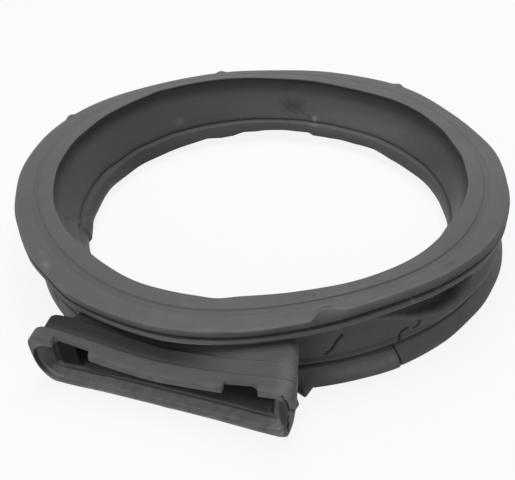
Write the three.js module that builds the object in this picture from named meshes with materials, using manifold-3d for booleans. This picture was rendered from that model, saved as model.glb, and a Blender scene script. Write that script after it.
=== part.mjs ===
// Washing machine door seal, moulded in one piece of dark grey rubber.
// Units are millimetres. +Z is the ring's axis with the door face up, the tub foot lies on z = 0,
// and the flat duct points along -Y.
import * as THREE from "three";
import Module from "manifold-3d";

const wasm = await Module();
wasm.setup();

// Driving dimensions
const RIM_RADIUS = 199.6; // outer edge of the door face
const RIM_HEIGHT = 58; // its height above the foot
const RIM_THICKNESS = 4.6;
const LIP_RADIUS = 170; // edge of the door opening
const LIP_RISE = 2.6; // the lip stands this far above the rim
const GROOVE_RADIUS = 184; // shallow ring groove on the face
const GROOVE_HALF_WIDTH = 2.6;
const GROOVE_DEPTH = 1.1;
const PANEL_SLOT_GAP = 1.7; // slot between rim and bead, where the front panel's edge goes
const PANEL_SLOT_RADIUS = 190.5; // root of that slot
const BEAD_RADIUS = 202.6; // rounded ring under the rim
const BEAD_THICKNESS = 4;
const RECESS_RADIUS = 183; // root of the hollow under the bead
const SHOULDER_RADIUS = 191.6; // line just above the skirt
const SHOULDER_HEIGHT = 16.6;
const SKIRT_TOP_RADIUS = 192.6;
const SKIRT_TOP_HEIGHT = 12.4;
const FOOT_RADIUS = 199.8; // outer edge of the foot
const FOOT_WIDTH = 5;
const THROAT_RADIUS = 155.8; // crease above the inner roll
const THROAT_HEIGHT = 21.6;
const ROLL_RADIUS = 152.6; // clear radius at the inner roll
const ROLL_HEIGHT = 14.6;
const ROLL_BOTTOM = 10.2;
const WALL = 3.2; // thickness of the two walls
const GROOVE_ROOF = 46; // top of the tub groove between them

// Duct: X runs along the mouth, "out" is the distance from the ring's axis
const MOUTH_OUT = 220.3; // front plane of the mouth
const MOUTH_LEFT = -90.5;
const MOUTH_RIGHT = 92.5;
const MOUTH_SIDE_HEIGHT = 38.5; // top corners of the mouth's front edge
const MOUTH_SAG = 11; // how far the middle of the top hangs
const FRAME_DEPTH = 7.3; // outer step of the mouth
const COLLAR_DEPTH = 7.8; // second step behind it
const STEP = 0.9; // height of a step
const DUCT_WALL = 3.4;
const SOCKET_OUT = 205.6; // back of the wide part of the mouth
const NECK_END_OUT = 136; // the neck is trimmed by the ring's inner wall
const PASSAGE_END_OUT = 118;
const VALANCE = 3.4; // thickness of the hanging front strip
const RIGHT_END_WALL = 11.5;
const NOTCH_LEFT = [-72, -46.5];
const NOTCH_RIGHT = [45, 68];
const NOTCH_CEILING = 60; // cut height, above every surface it meets

const STEPS = 90; // sectors of the ring
const OUTLINE_POINTS = 36; // points of a duct outline

// The ring was stored squeezed, so its outlines are not round. Each list holds the cosine and sine
// amounts in millimetres of the 1st, 2nd, 3rd and 4th harmonic.
const RIM_OUT_OF_ROUND = [-0.2, -0.1, -2.8, 4.6, -2.3, -2.3, 2.9, -3.1];
const LIP_OUT_OF_ROUND = [0, 0.5, -3.1, 1.2, -2.1, -1.5, 0.2, -1.4];
const ROLL_OUT_OF_ROUND = [0.9, 0.5, 0.9, 0.2, 0, 0, 0, 0];
const FOOT_OUT_OF_ROUND = [0.5, 0.9, 0.6, 0.3, 0, 0, 0, 0];
const FACE_OUT_OF_FLAT = [0, 0, 3.2, -3.1, 1.3, 0, 0, 0];

function harmonics(list, angle) {
  let sum = 0;
  for (let k = 0; k < list.length / 2; k += 1) {
    sum += list[2 * k] * Math.cos((k + 1) * angle);
    sum += list[2 * k + 1] * Math.sin((k + 1) * angle);
  }
  return sum;
}

// Moves a point of the section from its ideal place to its place on the bent ring.
function bent(radius, height, angle) {
  const up = THREE.MathUtils.smoothstep(height, SKIRT_TOP_HEIGHT, GROOVE_ROOF);
  const outer = THREE.MathUtils.smoothstep(radius, LIP_RADIUS, RIM_RADIUS);
  const low = THREE.MathUtils.smoothstep(radius, ROLL_RADIUS, RECESS_RADIUS);
  const top = THREE.MathUtils.lerp(
    harmonics(LIP_OUT_OF_ROUND, angle),
    harmonics(RIM_OUT_OF_ROUND, angle),
    outer,
  );
  const bottom = THREE.MathUtils.lerp(
    harmonics(ROLL_OUT_OF_ROUND, angle),
    harmonics(FOOT_OUT_OF_ROUND, angle),
    low,
  );
  const r = radius + THREE.MathUtils.lerp(bottom, top, up);
  const z = height + up * harmonics(FACE_OUT_OF_FLAT, angle);
  return [r * Math.cos(angle), r * Math.sin(angle), z];
}

function solid(positions, triangles) {
  return new wasm.Manifold(
    new wasm.Mesh({
      numProp: 3,
      vertProperties: new Float32Array(positions),
      triVerts: new Uint32Array(triangles),
    }),
  );
}

// Sweeps a closed section [radius, height] round the axis. The section runs clockwise: out along
// the top, down the outside, back along the bottom and up the inside.
function sweep(section) {
  const n = section.length;
  const positions = [];
  const triangles = [];
  for (let i = 0; i < STEPS; i += 1) {
    const angle = (2 * Math.PI * i) / STEPS;
    for (const [radius, height] of section) {
      positions.push(...bent(radius, height, angle));
    }
  }
  for (let i = 0; i < STEPS; i += 1) {
    const a = i * n;
    const b = ((i + 1) % STEPS) * n;
    for (let j = 0; j < n; j += 1) {
      const k = (j + 1) % n;
      triangles.push(a + j, b + k, b + j);
      triangles.push(a + j, a + k, b + k);
    }
  }
  return solid(positions, triangles);
}

// A smooth closed outline [x, z] through the given corner points, kept above the foot's plane.
function outline(corners) {
  const curve = new THREE.CatmullRomCurve3(
    corners.map(([x, z]) => new THREE.Vector3(x, 0, z)),
    true,
    "catmullrom",
    0.35,
  );
  const points = curve.getPoints(OUTLINE_POINTS).slice(0, OUTLINE_POINTS);
  return points.map((p) => new THREE.Vector3(p.x, 0, Math.max(0, p.z)));
}

// Joins outlines at different distances from the axis into one solid. Each outline runs
// anticlockwise seen from outside the mouth.
function loft(stations) {
  const n = OUTLINE_POINTS;
  const positions = [];
  const triangles = [];
  for (const [out, corners] of stations) {
    for (const p of outline(corners)) {
      positions.push(p.x, -out, p.z);
    }
  }
  for (let i = 0; i + 1 < stations.length; i += 1) {
    for (let j = 0; j < n; j += 1) {
      const k = (j + 1) % n;
      const a = i * n;
      const b = (i + 1) * n;
      triangles.push(a + j, b + k, b + j);
      triangles.push(a + j, a + k, b + k);
    }
  }
  for (const end of [0, stations.length - 1]) {
    const base = end * n;
    const centre = positions.length / 3;
    const middle = [0, 1, 2].map((axis) => {
      let sum = 0;
      for (let j = 0; j < n; j += 1) {
        sum += positions[3 * (base + j) + axis];
      }
      return sum / n;
    });
    positions.push(...middle);
    for (let j = 0; j < n; j += 1) {
      const k = (j + 1) % n;
      triangles.push(centre, ...(end === 0 ? [base + k, base + j] : [base + j, base + k]));
    }
  }
  return solid(positions, triangles);
}

// Section of the ring
const rimBottom = RIM_HEIGHT - RIM_THICKNESS;
const beadTop = rimBottom - PANEL_SLOT_GAP;
const beadMiddle = beadTop - BEAD_THICKNESS / 2;
const beadBottom = beadTop - BEAD_THICKNESS;
const lipTop = RIM_HEIGHT + LIP_RISE;
const faceSlope = LIP_RISE / (RIM_RADIUS - LIP_RADIUS);
const faceAt = (radius) => lipTop - faceSlope * (radius - LIP_RADIUS);
const grooveIn = GROOVE_RADIUS - GROOVE_HALF_WIDTH;
const grooveOut = GROOVE_RADIUS + GROOVE_HALF_WIDTH;
const recessRoof = beadBottom - 1.2;

const innerWall = [
  [ROLL_RADIUS + 2.6, ROLL_BOTTOM],
  [ROLL_RADIUS + 0.5, ROLL_BOTTOM + 1.7],
  [ROLL_RADIUS, ROLL_HEIGHT],
  [ROLL_RADIUS + 1, THROAT_HEIGHT - 3],
  [THROAT_RADIUS, THROAT_HEIGHT],
  [THROAT_RADIUS + 4.2, THROAT_HEIGHT + 6.4],
  [LIP_RADIUS - 5, THROAT_HEIGHT + 16.4],
  [LIP_RADIUS, GROOVE_ROOF + 2],
  [LIP_RADIUS + 3, lipTop - 6.2],
  [LIP_RADIUS + 1.6, lipTop - 3.2],
  [LIP_RADIUS - 0.4, lipTop - 1.4],
];

const section = [
  [LIP_RADIUS + 0.6, lipTop],
  [grooveIn, faceAt(grooveIn)],
  [grooveIn + 0.8, faceAt(grooveIn) - GROOVE_DEPTH],
  [grooveOut - 1.2, faceAt(grooveOut) - GROOVE_DEPTH],
  [grooveOut, faceAt(grooveOut)],
  [RIM_RADIUS - 1.2, RIM_HEIGHT],
  [RIM_RADIUS, RIM_HEIGHT - 0.9],
  [RIM_RADIUS + 0.3, rimBottom + 0.8],
  [RIM_RADIUS - 0.6, rimBottom],
  [PANEL_SLOT_RADIUS, rimBottom],
  [PANEL_SLOT_RADIUS, beadTop],
  [BEAD_RADIUS - 2.6, beadTop],
  [BEAD_RADIUS - 0.6, beadTop - 0.7],
  [BEAD_RADIUS, beadMiddle],
  [BEAD_RADIUS - 0.7, beadBottom + 0.6],
  [BEAD_RADIUS - 2.6, beadBottom],
  [RECESS_RADIUS + 1.5, recessRoof],
  [RECESS_RADIUS, recessRoof - 2],
  [RECESS_RADIUS - 0.6, recessRoof - 7],
  [RECESS_RADIUS + 1.2, SHOULDER_HEIGHT + 14],
  [RECESS_RADIUS + 5.2, SHOULDER_HEIGHT + 5],
  [SHOULDER_RADIUS, SHOULDER_HEIGHT],
  [SHOULDER_RADIUS - 0.4, SHOULDER_HEIGHT - 1.8],
  [SHOULDER_RADIUS - 1.6, SKIRT_TOP_HEIGHT + 1],
  [SKIRT_TOP_RADIUS, SKIRT_TOP_HEIGHT],
  [FOOT_RADIUS, 2],
  [FOOT_RADIUS - 0.2, 0],
  [FOOT_RADIUS - FOOT_WIDTH, 0],
  [SKIRT_TOP_RADIUS - 5.2, SKIRT_TOP_HEIGHT - 1.4],
  [RECESS_RADIUS + 1.8, SHOULDER_HEIGHT + 3.6],
  [RECESS_RADIUS + 1.2 - WALL, SHOULDER_HEIGHT + 13.4],
  [RECESS_RADIUS - 0.8 - WALL, recessRoof - 7],
  [RECESS_RADIUS - 2 - WALL, GROOVE_ROOF - 1],
  [LIP_RADIUS + 5, GROOVE_ROOF],
  [LIP_RADIUS + WALL, GROOVE_ROOF - 1.4],
  [LIP_RADIUS - 5 + WALL, THROAT_HEIGHT + 15],
  [THROAT_RADIUS + WALL, THROAT_HEIGHT - 0.6],
  [ROLL_RADIUS + 6, ROLL_HEIGHT],
  [ROLL_RADIUS + 5, ROLL_BOTTOM + 0.9],
  ...innerWall,
];

// The room inside the inner wall, used to trim the neck.
const opening = [
  [LIP_RADIUS - 0.4, lipTop + 20],
  ...innerWall.slice().reverse(),
  [ROLL_RADIUS + 2.6, -20],
  [LIP_RADIUS / 3, -20],
  [LIP_RADIUS / 3, lipTop + 20],
];

// Outer skin of the duct at a station: corner heights, sag and left edge vary along it.
function skin({ left, right, top, sag, bottom, leftTop, slant }) {
  const wide = right - left;
  return [
    [left + 8, bottom + 0.6],
    [left + 0.3 * wide, bottom],
    [left + 0.7 * wide, bottom],
    [right - 8, bottom + 0.6],
    [right - 1, bottom + 8],
    [right, top - 6],
    [right - 6, top],
    [left + 0.74 * wide, top - 0.6 * sag],
    [left + 0.5 * wide, top - sag],
    [left + 0.29 * wide, top - 0.68 * sag],
    [leftTop, top - 1],
    [left, top - slant],
    [left, bottom + 10],
  ];
}

const mouthFront = skin({
  left: MOUTH_LEFT,
  right: MOUTH_RIGHT,
  top: MOUTH_SIDE_HEIGHT,
  sag: MOUTH_SAG,
  bottom: 0,
  leftTop: MOUTH_LEFT + 14.5,
  slant: 9,
});
const frameTop = MOUTH_SIDE_HEIGHT + 5.2;
const frameBack = skin({
  left: MOUTH_LEFT + 2,
  right: MOUTH_RIGHT,
  top: frameTop,
  sag: MOUTH_SAG - 2,
  bottom: 0,
  leftTop: MOUTH_LEFT + 15.5,
  slant: 10,
});
const collarFront = skin({
  left: MOUTH_LEFT + 7,
  right: MOUTH_RIGHT - STEP,
  top: frameTop - STEP,
  sag: MOUTH_SAG - 2,
  bottom: STEP,
  leftTop: MOUTH_LEFT + 17.5,
  slant: 9.5,
});
const collarTop = frameTop + 5.6;
const collarBack = skin({
  left: MOUTH_LEFT + 13,
  right: MOUTH_RIGHT - 2 * STEP,
  top: collarTop,
  sag: MOUTH_SAG - 1,
  bottom: STEP + 0.4,
  leftTop: MOUTH_LEFT + 23,
  slant: 10,
});
const neckFront = skin({
  left: MOUTH_LEFT + 24,
  right: MOUTH_RIGHT - 4,
  top: collarTop - STEP,
  sag: MOUTH_SAG - 1,
  bottom: 2.6,
  leftTop: MOUTH_LEFT + 30,
  slant: 9,
});
const neckRoof = recessRoof - 2.4;
const neckMiddle = skin({
  left: MOUTH_LEFT + 25,
  right: MOUTH_RIGHT - 6,
  top: neckRoof,
  sag: 1,
  bottom: 6,
  leftTop: MOUTH_LEFT + 31,
  slant: 8,
});
const neckBack = skin({
  left: MOUTH_LEFT + 29,
  right: MOUTH_RIGHT - 18,
  top: neckRoof + 1,
  sag: 0.5,
  bottom: THROAT_HEIGHT - 1,
  leftTop: MOUTH_LEFT + 34,
  slant: 7,
});
const frameOut = MOUTH_OUT - FRAME_DEPTH;
const collarOut = frameOut - COLLAR_DEPTH;
const ductSkin = loft([
  [NECK_END_OUT, neckBack],
  [collarOut - 16, neckMiddle],
  [collarOut - 0.3, neckFront],
  [collarOut, collarBack],
  [frameOut - 0.3, collarFront],
  [frameOut, frameBack],
  [MOUTH_OUT - 1.2, mouthFront],
  [MOUTH_OUT, mouthFront.map(([x, z]) => [x * 0.994, Math.max(0, z - 0.5)])],
]);

// Hollow of the duct: a wide socket at the mouth, then the neck's passage.
function hollow({ left, right, top, sag, bottom, leftTop }) {
  return skin({ left, right, top, sag, bottom, leftTop, slant: 8 });
}
const socketFloor = DUCT_WALL - 0.6;
const socketRight = MOUTH_RIGHT - RIGHT_END_WALL;
const socketLeft = MOUTH_LEFT + DUCT_WALL;
const socket = loft([
  [
    SOCKET_OUT,
    hollow({
      left: socketLeft + 12,
      right: socketRight,
      top: collarTop - DUCT_WALL - 1.6,
      sag: MOUTH_SAG,
      bottom: socketFloor + 1.6,
      leftTop: socketLeft + 20,
    }),
  ],
  [
    MOUTH_OUT - VALANCE,
    hollow({
      left: socketLeft + 2,
      right: socketRight,
      top: MOUTH_SIDE_HEIGHT + 2.4 - DUCT_WALL,
      sag: MOUTH_SAG,
      bottom: socketFloor,
      leftTop: socketLeft + 12,
    }),
  ],
]);
const lipLine = MOUTH_SIDE_HEIGHT - 5.5;
const mouthHole = (out, grow) => [
  out,
  hollow({
    left: socketLeft - grow,
    right: socketRight + grow,
    top: lipLine,
    sag: MOUTH_SAG - 1,
    bottom: socketFloor - grow,
    leftTop: socketLeft + 9,
  }),
];
const mouth = loft([
  mouthHole(MOUTH_OUT - VALANCE - 1, 0),
  mouthHole(MOUTH_OUT - 0.8, 0),
  mouthHole(MOUTH_OUT + 4, 2),
]);
const passage = loft([
  [
    PASSAGE_END_OUT,
    hollow({
      left: MOUTH_LEFT + 36,
      right: MOUTH_RIGHT - 26,
      top: neckRoof - 2.6,
      sag: 0.5,
      bottom: THROAT_HEIGHT + 2,
      leftTop: MOUTH_LEFT + 40,
    }),
  ],
  [
    SOCKET_OUT + 0.5,
    hollow({
      left: MOUTH_LEFT + 27,
      right: MOUTH_RIGHT - 15,
      top: collarTop - 8,
      sag: MOUTH_SAG - 3,
      bottom: 2.6 + DUCT_WALL + 1.4,
      leftTop: MOUTH_LEFT + 33,
    }),
  ],
]);

// A box as a plain twelve-triangle solid.
function block(x, y, z) {
  const g = new THREE.BoxGeometry(x[1] - x[0], y[1] - y[0], z[1] - z[0]);
  g.translate((x[0] + x[1]) / 2, (y[0] + y[1]) / 2, (z[0] + z[1]) / 2);
  return fromGeometry(g);
}

// Turns a closed three.js geometry into a solid, joining vertices at the same place.
function fromGeometry(geometry) {
  const source = geometry.getAttribute("position");
  const index = geometry.index;
  const seen = new Map();
  const positions = [];
  const triangles = [];
  const vertex = (i) => {
    const p = [source.getX(i), source.getY(i), source.getZ(i)];
    const key = p.map((v) => v.toFixed(4)).join(" ");
    if (!seen.has(key)) {
      seen.set(key, positions.length / 3);
      positions.push(...p);
    }
    return seen.get(key);
  };
  const count = index ? index.count : source.count;
  for (let i = 0; i < count; i += 3) {
    const ids = [0, 1, 2].map((k) => vertex(index ? index.getX(i + k) : i + k));
    if (new Set(ids).size === 3) {
      triangles.push(...ids);
    }
  }
  return solid(positions, triangles);
}

const notchDepth = [-(MOUTH_OUT + 3), -(MOUTH_OUT - VALANCE - 0.2)];
const notchHeights = [MOUTH_SIDE_HEIGHT - MOUTH_SAG - 12, NOTCH_CEILING];

// Small bumps left by the moulding at the edge of the rim, and the pull tab on the skirt.
const NUB_RADIUS = 2.6;
const NUB_ANGLES = [44, 101, 147].map(THREE.MathUtils.degToRad);
function nub(angle) {
  const g = new THREE.SphereGeometry(NUB_RADIUS, 10, 8);
  g.translate(...bent(RIM_RADIUS - 0.4, RIM_HEIGHT - RIM_THICKNESS / 2, angle));
  return fromGeometry(g);
}

let ductShell = ductSkin.subtract(sweep(opening));
let made = sweep(section).add(ductShell);
made = made.subtract(passage).subtract(socket).subtract(mouth);
made = made.subtract(block(NOTCH_LEFT, notchDepth, notchHeights));
made = made.subtract(block(NOTCH_RIGHT, notchDepth, notchHeights));
for (const angle of NUB_ANGLES) {
  made = made.add(nub(angle));
}

// The frame's origin is under the middle of the bounding box.
const box = made.boundingBox();
const middleX = (box.min[0] + box.max[0]) / 2;
const middleY = (box.min[1] + box.max[1]) / 2;
const mesh = made.getMesh();
const count = mesh.vertProperties.length / mesh.numProp;
const positions = new Float32Array(count * 3);
for (let i = 0; i < count; i += 1) {
  positions[3 * i] = mesh.vertProperties[mesh.numProp * i] - middleX;
  positions[3 * i + 1] = mesh.vertProperties[mesh.numProp * i + 1] - middleY;
  positions[3 * i + 2] = mesh.vertProperties[mesh.numProp * i + 2] - box.min[2];
}
const geometry = new THREE.BufferGeometry();
geometry.setAttribute("position", new THREE.BufferAttribute(positions, 3));
geometry.setIndex(new THREE.BufferAttribute(new Uint32Array(mesh.triVerts), 1));
geometry.computeVertexNormals();

const rubber = new THREE.MeshStandardMaterial({
  color: 0x5c5e5d,
  roughness: 0.62,
  metalness: 0,
});
const seal = new THREE.Mesh(geometry, rubber);
seal.name = "door_seal";

const group = new THREE.Group();
group.name = "washing_machine_door_seal";
group.add(seal);

export default group;
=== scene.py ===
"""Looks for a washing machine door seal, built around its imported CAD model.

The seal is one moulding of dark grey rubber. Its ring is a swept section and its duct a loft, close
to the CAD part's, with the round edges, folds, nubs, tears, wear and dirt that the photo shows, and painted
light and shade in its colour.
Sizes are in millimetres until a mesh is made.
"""

import math

import bpy
import numpy as np
from mathutils import Matrix, Vector
from mathutils.kdtree import KDTree


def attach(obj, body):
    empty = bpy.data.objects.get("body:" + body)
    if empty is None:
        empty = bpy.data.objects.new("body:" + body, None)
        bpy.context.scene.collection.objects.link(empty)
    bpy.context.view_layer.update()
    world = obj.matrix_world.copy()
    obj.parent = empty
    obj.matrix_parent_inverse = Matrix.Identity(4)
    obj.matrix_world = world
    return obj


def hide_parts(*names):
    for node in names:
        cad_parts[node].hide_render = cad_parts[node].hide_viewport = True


MM = 0.001
SEED = 7

# The ring's axis in the frame, which has its origin under the middle of the whole box.
AXIS_X = 2.15
AXIS_Y = 4.75

# Ring
RIM_RADIUS = 200.2
RIM_HEIGHT = 58.0
RIM_THICKNESS = 4.6
LIP_RADIUS = 170.4
LIP_TOP = 60.6
PART_TOP = 65.82  # nothing reaches above this height
GROOVE_RADIUS = 184.0
GROOVE_HALF_WIDTH = 2.6
GROOVE_DEPTH = 0.9
SLOT_GAP = 1.7
SLOT_RADIUS = 190.5
BEAD_RADIUS = 202.6
BEAD_THICKNESS = 4.0
BEAD_TUCK = 3.1
RECESS_RADIUS = 183.0
SHOULDER_RADIUS = 191.6
SHOULDER_HEIGHT = 16.6
SKIRT_TOP_RADIUS = 192.6
SKIRT_TOP_HEIGHT = 12.4
FOOT_RADIUS = 199.3
FOOT_WIDTH = 5.0
THROAT_RADIUS = 155.8
THROAT_HEIGHT = 21.6
ROLL_RADIUS = 152.6
ROLL_HEIGHT = 14.6
ROLL_BOTTOM = 8.4
WALL = 3.2
GROOVE_ROOF = 46.0

# Distance between points along the section, by surface.
SPACING = {
    "face": 2.6, "rim": 1.5, "slot": 6.0, "bead": 1.2, "recess": 4.0, "waist": 0.95,
    "shoulder": 1.0, "skirt": 1.6, "foot": 3.0, "under": 9.0, "roll": 1.5, "wall": 2.6, "lip": 1.6,
}
# Sectors are this wide in degrees, and narrower on the arcs that carry small marks.
SECTOR = 1.15
FINE_ARCS = {
    (-66, -62.5): 0.35, (-62.5, -53): 0.22, (-47, -37.5): 0.3, (-37.5, -18): 0.7, (-153, -141): 0.5,
    (66, 71): 0.35, (86, 103): 0.55, (118, 126): 0.35, (166, 171): 0.35, (-130, -124): 0.4,
}

# Duct
MOUTH_OUT = 220.4
MOUTH_LEFT = -90.5
MOUTH_RIGHT = 90.4
MOUTH_SIDE_HEIGHT = 38.5
MOUTH_SAG = 11.0
FRAME_DEPTH = 7.3
COLLAR_DEPTH = 7.8
STEP = 0.9
DUCT_WALL = 3.4
SOCKET_OUT = 208.9
SOCKET_FLOOR_OUT = 0.4  # the ledge on the floor lies this much nearer the mouth
PASSAGE_END_OUT = 118.0
VALANCE = 3.4
RIM_EDGE = 2.6  # width of the mouth's front edge
SOCKET_FLOOR = 4.6
NOTCH_LEFT = (-72.0, -46.5)
NOTCH_RIGHT = (45.0, 67.0)
TENSION = 0.35
TORN_END = (74, 80)  # the mouth's right end is torn and rough beyond this stretch of x
INSIDE_FROM = 7  # the stations from here on are inside the duct
LEDGE_STATION = 10  # the narrow ledge at the socket's back
OUTLINE_COUNTS = (12, 14, 14, 24, 44, 24, 50, 44, 44, 46, 12, 10, 10)

# How the ring is bent: cosine and sine amounts of each harmonic, in millimetres.
RIM_BEND = [0.1, 0.5, -3.1, 5.0, -2.5, -2.5, 3.1, -3.4, 0.4, -0.5, 0, 0, -0.7, 0.4, -0.5, -0.2]
LIP_BEND = [
    -0.5, 1.3, -3.0, 1.4, -1.8, -1.6, 0.1, -1.6, -0.2, -1.1, -0.3, 0.3, 0.2, 0.5, 0.3, 0.2,
]
ROLL_BEND = [1.5, 0.5, 0.9, 0.2]
FOOT_BEND = [0.5, 0.9, 0.6, 0.3]
FACE_BEND = [0.0, 0.0, 3.2, -3.1, 1.3, 0.0]

# The skirt is pressed in beside the duct's left end, and the bead stands out most over the duct.
DENT_DEPTH, DENT_ANGLE, DENT_HALF_WIDTH = 8.6, -135, 30
BEAD_ANGLE, BEAD_HALF_WIDTH = -74, 80

# How much lower and further in the inner roll hangs, by angle.
ROLL_HANG = (
    (-180, 3.1), (-168, 4.2), (-153, 4.3), (-148.5, 4.0), (-140, 3.8), (-132, 2.0), (-120, 0),
    (10, 0.4), (20, 1.0),
    (33, 1.1), (45, 1.6), (55, 1.5), (63, 0.2), (71, 0.8), (77, 0.5), (82, 1.2), (88.5, 1.3),
    (90.5, -0.4), (96, -0.5), (100, -1.0), (104, -0.8), (108, -0.5), (111, 0.2), (116, 0), (120, 1.9),
    (125, 2.4), (130.5, 1.0), (137, 1.9), (145, 2.7), (165, 2.8), (180, 3.1),
)

# Lines of small marks on the ring's side, as (degree, height).
ARC_SCALE = 3.3  # millimetres to a degree on the outside
WALL_SCALE = 2.9  # millimetres to a degree on the inner wall
CREASES = (
    ((-59.6, 19.2), (-58.1, 21.7), (-57.4, 24.3), (-56.8, 26.4), (-55.6, 28.9)),
    ((-39.6, 20.2), (-38.7, 21.9), (-38.4, 24.4)),
    ((-43.6, 14.8), (-43.3, 17.6), (-42.5, 20.0), (-41.0, 22.0)),
)
SEAM = ((-44.9, 12.6), (-44.4, 7.5), (-44.1, 0.0))
SLIT = ((-128.8, 13.0), (-127.0, 10.4), (-126.2, 7.2))
WRINKLES = (
    ((101.8, 37.0), (98.6, 31.0), (96.4, 27.0)), ((98.8, 41.0), (98.0, 33.0)),
    ((93.6, 37.0), (96.6, 31.5)), ((95.8, 30.0), (90.6, 24.6)),
)
WALL_FOLD = ((-146.4, 38.5), (-150.3, 29.7), (-153.6, 22.4))
FLASH_DEGREES = (68.0, 121.2, 171.6)
FLASH_OUT, FLASH_UP = 2.2, 0.9
# Height of the ridge where the bulging waist folds in, by degree.
FOLD_RIDGE = (
    (-180, 37.5), (-50, 34.5), (-45, 31), (-40, 27.5), (-33, 25.6), (-27, 26.5), (-23.5, 31), (-21, 37),
    (-15, 40), (180, 42),
)
FOLD_BULGE = 9.5
FOLD_START, FOLD_END = (-46, -30), (4, 44)  # where the bulge grows and where it dies out

# Local bulges and hollows, as (amount, degree, half width), on the waist with (height, half width) too.
WAIST_HILLS = ((-2.0, -62, 8, 34, 10), (1.4, -52, 10, 27, 8))
RIM_HILLS = ((0.5, 8, 26), (-0.6, -134, 12), (-1.5, -120, 9), (0.5, -163, 12))
SKIRT_HILLS = ((1.8, -131, 12), (0.5, -4, 8), (-0.8, -24, 8))
LIP_HILLS = (
    (1.3, -56, 22), (1.0, -134, 14), (0.5, -103, 9), (1.6, 145.3, 5), (1.3, -81.9, 5), (-1.4, -20.2, 6),
)
OUTER_WALL = 177  # the outer wall's two sides lie beyond this radius
SEAM_DEPTH, SEAM_STEP = 0.7, 0.9
SLIT_DEPTH = 1.5
TAB_DEGREE, TAB_HALF_WIDTH, TAB_LENGTH = -64.6, 1.9, 7.8
PINCH_DEPTH, BEVEL_DEPTH = 7.0, 2.2
BEAD_SAG = 1.1
NICK_DEGREE, NICK_DEPTH = -42.5, 0.8
ROLL_STEP, ROLL_NOTCH = 2.2, 2.4
WALL_DENT, WALL_LUMP = 97.3, 88.6  # degrees

# Marks on the door face and the inner wall, as (amount, degree, half width, radius or height, half width).
FACE_WEAR = ((0.45, -121.4, 2.2, 196, 3.4), (0.25, -125, 2.5, 192.5, 2))
FACE_DIRT = ((0.6, -46.6, 5, 189, 6), (0.7, -32, 6, 192, 6), (0.5, -63, 7, 175, 6))
FACE_GRIME = ((0.6, -61.2, 0.5, 176.4, 1.4), (0.5, -31, 1.3, 192.5, 1.2))
WALL_WEAR = ((0.9, WALL_LUMP, 1.3, 24.5, 3), (0.3, 140, 3, 29, 4))

# Tears in the mouth's right end, as (x, height) on its front.
TEARS = (
    ((82.6, 37.2), (84.3, 35.0), (86.0, 31.6), (87.3, 27.4), (86.2, 25.8), (85.5, 24.4),
     (86.7, 21.4), (86.2, 18.0), (86.8, 15.0), (86.1, 11.0), (87.0, 7.6)),
    ((87.2, 27.2), (90.6, 27.6)),
    ((69.5, 2.8), (75.0, 4.4), (81.5, 4.6)),
)

# The photograph's camera, measured from the ring's axis at the foot.
CAMERA_PLACE = (166.2, -492.8, 357.2)
CAMERA_FORWARD = (-0.26803, 0.76371, -0.58728)
CAMERA_UP = (-0.16691, 0.56356, 0.80904)
CAMERA_LENS = 50.11

# Studio: a soft lamp overhead, a little behind the seal, a weak one in front and an even white room.
WORLD_STRENGTH = 0.18
FLOOR_HALF_SIDE = 3.0
FLOOR_SHADE = 0.42
FLOOR_WHITE = 0.88  # how much of the floor's look is plain white, and the rest takes the shadow
LAMPS = (
    ("key", (-0.05, 0.45, 1.5), 1.1, 13.8),
    ("front", (-0.3, -1.6, 0.6), 1.0, 8),
)

# Rubber colours, linear
RUBBER = (0.094, 0.102, 0.104)
RUBBER_DARK = (0.077, 0.084, 0.086)
RUBBER_PALE = (0.131, 0.139, 0.141)
STAIN = (0.105, 0.095, 0.078)
# Black for grime, painted shade and cracks, and pale for scuffs and painted light
BLACK_FOR_GRIME_SHADE_AND_CRACKS = (0.014, 0.014, 0.017)
PALE_FOR_SCUFFS_AND_LIGHT = (0.36, 0.365, 0.355)


def smooth(value, low, high):
    """0 below low, 1 above high and a smooth step between them."""
    t = np.clip((np.asarray(value, float) - low) / (high - low), 0.0, 1.0)
    return t * t * (3 - 2 * t)


def hill(value, centre, half_width):
    """A smooth hill, 1 at its centre and 0 beyond its half width."""
    return np.clip(1 - ((value - centre) / half_width) ** 2, 0, None) ** 2


def harmonics(amounts, angle):
    """Sum of waves round the ring, from a cosine and a sine amount of each harmonic."""
    total = np.zeros_like(angle)
    for k in range(len(amounts) // 2):
        total += amounts[2 * k] * np.cos((k + 1) * angle)
        total += amounts[2 * k + 1] * np.sin((k + 1) * angle)
    return total


def bump(angle, centre, half_width):
    """A smooth hill that goes on past 180 degrees, by an angle in radians."""
    away = np.degrees(np.angle(np.exp(1j * (angle - math.radians(centre)))))
    return hill(away, 0, half_width)


def bent(radius, height, angle):
    """Moves points of the ideal ring to where they are on the bent one."""
    up = smooth(height, SKIRT_TOP_HEIGHT, GROOVE_ROOF)
    outer = smooth(radius, LIP_RADIUS, RIM_RADIUS)
    low = smooth(radius, ROLL_RADIUS, RECESS_RADIUS)
    top = (1 - outer) * harmonics(LIP_BEND, angle) + outer * harmonics(RIM_BEND, angle)
    bottom = (1 - low) * harmonics(ROLL_BEND, angle) + low * harmonics(FOOT_BEND, angle)
    dent = DENT_DEPTH * bump(angle, DENT_ANGLE, DENT_HALF_WIDTH) * low
    dent = dent * (1 - smooth(height, 0, SHOULDER_HEIGHT))
    tuck = BEAD_TUCK * (1 - bump(angle, BEAD_ANGLE, BEAD_HALF_WIDTH)) * up
    tuck = tuck * smooth(radius, RIM_RADIUS - 1, BEAD_RADIUS)
    roll = (1 - low) * (1 - smooth(height, ROLL_BOTTOM, THROAT_HEIGHT))
    hang = np.interp(np.degrees(angle), *zip(*ROLL_HANG)) * roll
    r = radius + (1 - up) * bottom + up * top - dent - tuck - hang
    z = height + up * harmonics(FACE_BEND, angle) - hang
    return r, z


def in_frame(x, y, z):
    """Places in the frame, in metres, from millimetres measured from the ring's axis."""
    return np.stack([x + AXIS_X, y + AXIS_Y, z], -1) * MM


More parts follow.
